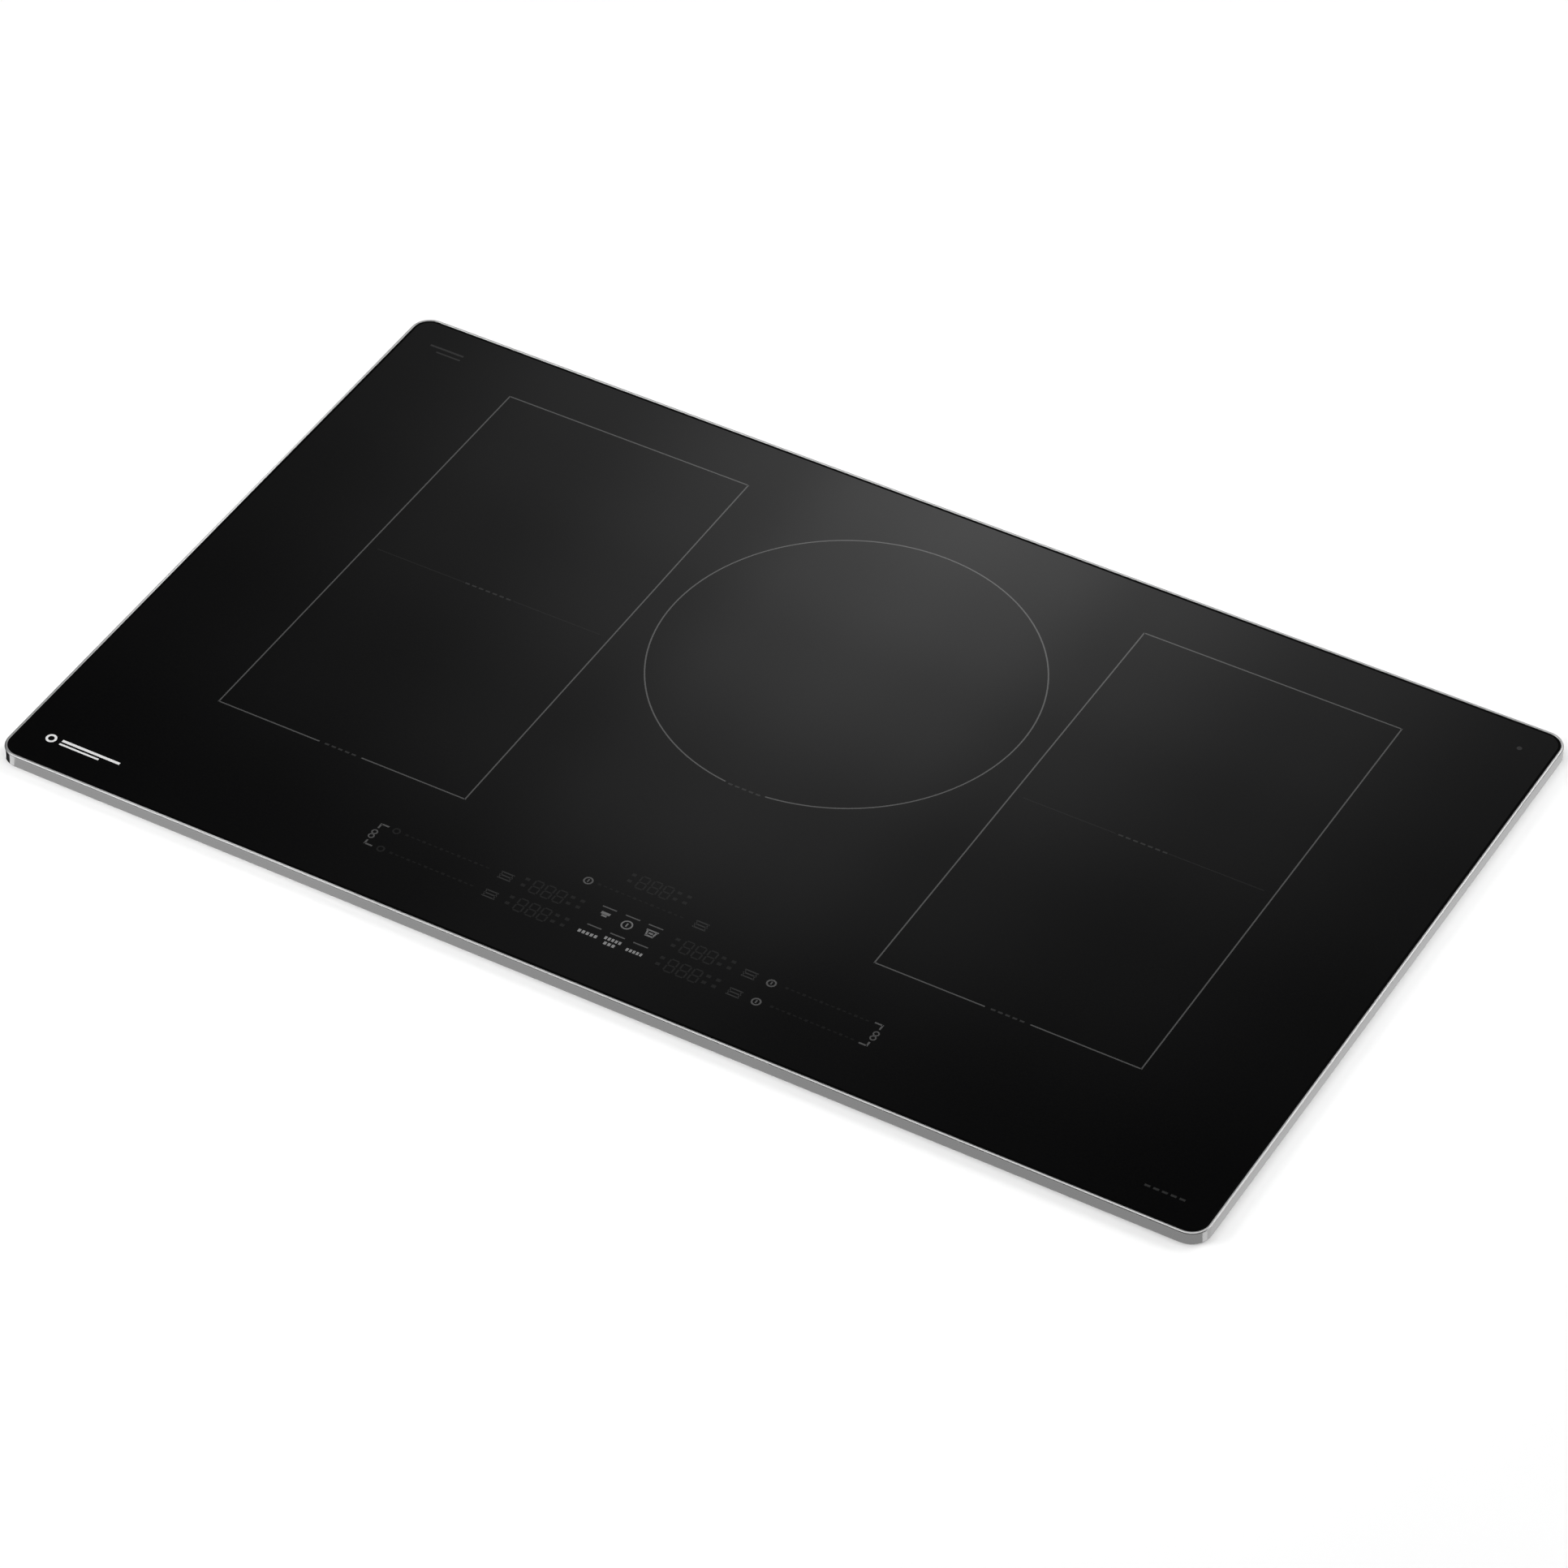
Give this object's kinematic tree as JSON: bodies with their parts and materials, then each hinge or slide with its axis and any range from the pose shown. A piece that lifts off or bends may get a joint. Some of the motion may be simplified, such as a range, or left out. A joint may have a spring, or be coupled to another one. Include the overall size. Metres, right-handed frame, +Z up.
{
  "type": "built-in induction cooktop",
  "caption": "Built-in electric induction cooktop: wide black glass in a slim steel trim with flexible and round zones and touch controls, over a sheet-metal pan with coils, fans and clamps.",
  "frame": {"origin": "middle of the underside of the sheet-metal pan, centred under the trim outline", "axes": "+X to the right of someone at the controls, +Y to the back wall, +Z up out of the glass"},
  "size_m": [0.9254, 0.546, 0.1077],
  "materials": {
    "black_glass": "polished black ceramic glass",
    "trim_steel": "fine brushed stainless steel",
    "black_silicone": "matt black silicone joint",
    "foam": "closed-cell foam tape",
    "galvanised_steel": "galvanised sheet steel",
    "zinc_fasteners": "zinc-plated fasteners",
    "bare_aluminium": "mill-finish aluminium",
    "spring_steel": "bright spring wire",
    "copper_wire": "enamelled copper litz",
    "black_plastic": "black glass-filled plastic",
    "ferrite": "sintered dark ferrite",
    "mica": "pressed mica sheet",
    "ceramic": "pale ceramic",
    "circuit_board": "green solder mask",
    "conductive_foam": "soft conductive foam",
    "display_plastic": "dark red-brown display blocks",
    "board_parts": "moulded electronic parts",
    "motor_steel": "dark motor steel",
    "impeller_plastic": "dark grey moulded plastic",
    "terminal_plastic": "ivory plastic",
    "zinc_casting": "die-cast zinc"
  },
  "bodies": {
    "root": {"glass_top": "black_glass", "trim_frame": "trim_steel", "glass_joint": "black_silicone", "worktop_seal": "foam", "support_frame": "galvanised_steel", "base_pan": "galvanised_steel", "chassis_screws": "zinc_fasteners", "support_deck": "bare_aluminium", "shoulder_screws": "zinc_fasteners", "tray_springs_left": "spring_steel", "tray_springs_center": "spring_steel", "tray_springs_right": "spring_steel", "touch_carrier": "black_plastic", "touch_board": "circuit_board", "touch_pads": "conductive_foam", "display_modules": "display_plastic", "power_board_left": "circuit_board", "power_board_right": "circuit_board", "heat_sink_left": "bare_aluminium", "heat_sink_right": "bare_aluminium", "power_parts_left": "board_parts", "power_parts_right": "board_parts", "filter_board": "circuit_board", "filter_parts": "board_parts", "fan_housing_left": "black_plastic", "fan_housing_right": "black_plastic", "fan_cover_left": "black_plastic", "fan_cover_right": "black_plastic", "fan_motor_left": "motor_steel", "fan_motor_right": "motor_steel", "clamp_bracket_left": "galvanised_steel", "clamp_bracket_right": "galvanised_steel", "terminal_block": "terminal_plastic", "conduit_connector": "zinc_casting"},
    "coil_float_left": {"coil_tray_left": "bare_aluminium", "winding_left_front": "copper_wire", "winding_left_rear": "copper_wire", "coil_formers_left": "black_plastic", "ferrites_left": "ferrite", "mica_sheet_left": "mica", "heat_sensors_left": "ceramic"},
    "coil_float_center": {"coil_tray_center": "bare_aluminium", "winding_center": "copper_wire", "coil_former_center": "black_plastic", "ferrites_center": "ferrite", "mica_sheet_center": "mica", "heat_sensor_center": "ceramic"},
    "coil_float_right": {"coil_tray_right": "bare_aluminium", "winding_right_front": "copper_wire", "winding_right_rear": "copper_wire", "coil_formers_right": "black_plastic", "ferrites_right": "ferrite", "mica_sheet_right": "mica", "heat_sensors_right": "ceramic"},
    "fan_rotor_left": {"impeller_left": "impeller_plastic"},
    "fan_rotor_right": {"impeller_right": "impeller_plastic"},
    "hold_down_pad_left": {"clamp_pad_left": "black_plastic"},
    "hold_down_screw_left": {"clamp_screw_left": "zinc_fasteners"},
    "hold_down_pad_right": {"clamp_pad_right": "black_plastic"},
    "hold_down_screw_right": {"clamp_screw_right": "zinc_fasteners"}
  },
  "joints": [
    {"name": "coil_float_left_slide", "type": "slide", "parent": "root", "child": "coil_float_left", "axis": [0, 0, 1], "range_m": [-0.003, 0], "stiffness_N_per_m": 10000, "springref_m": 0.006, "deforming": ["tray_springs_left"]},
    {"name": "coil_float_center_slide", "type": "slide", "parent": "root", "child": "coil_float_center", "axis": [0, 0, 1], "range_m": [-0.003, 0], "stiffness_N_per_m": 8000, "springref_m": 0.006, "deforming": ["tray_springs_center"]},
    {"name": "coil_float_right_slide", "type": "slide", "parent": "root", "child": "coil_float_right", "axis": [0, 0, 1], "range_m": [-0.003, 0], "stiffness_N_per_m": 10000, "springref_m": 0.006, "deforming": ["tray_springs_right"]},
    {"name": "fan_left_spin", "type": "hinge", "parent": "root", "child": "fan_rotor_left", "pos_m": [-0.25, 0.13, 0.03], "axis": [0, 0, 1], "continuous": true},
    {"name": "fan_right_spin", "type": "hinge", "parent": "root", "child": "fan_rotor_right", "pos_m": [0.25, 0.13, 0.03], "axis": [0, 0, 1], "continuous": true},
    {"name": "hold_down_left_rise", "type": "slide", "parent": "root", "child": "hold_down_pad_left", "axis": [0, 0, 1], "range_m": [0, 0.03]},
    {"name": "hold_down_left_turn", "type": "hinge", "parent": "hold_down_pad_left", "child": "hold_down_screw_left", "pos_m": [-0.448, 0, 0.03], "axis": [0, 0, 1], "range_deg": [0, 8510]},
    {"name": "hold_down_right_rise", "type": "slide", "parent": "root", "child": "hold_down_pad_right", "axis": [0, 0, 1], "range_m": [0, 0.03]},
    {"name": "hold_down_right_turn", "type": "hinge", "parent": "hold_down_pad_right", "child": "hold_down_screw_right", "pos_m": [0.448, 0, 0.03], "axis": [0, 0, 1], "range_deg": [0, 8510]}
  ],
  "couplings": [
    {"joint": "hold_down_left_turn", "follows": "hold_down_left_rise", "rad_per_m": 4947.4},
    {"joint": "hold_down_right_turn", "follows": "hold_down_right_rise", "rad_per_m": 4947.4}
  ]
}
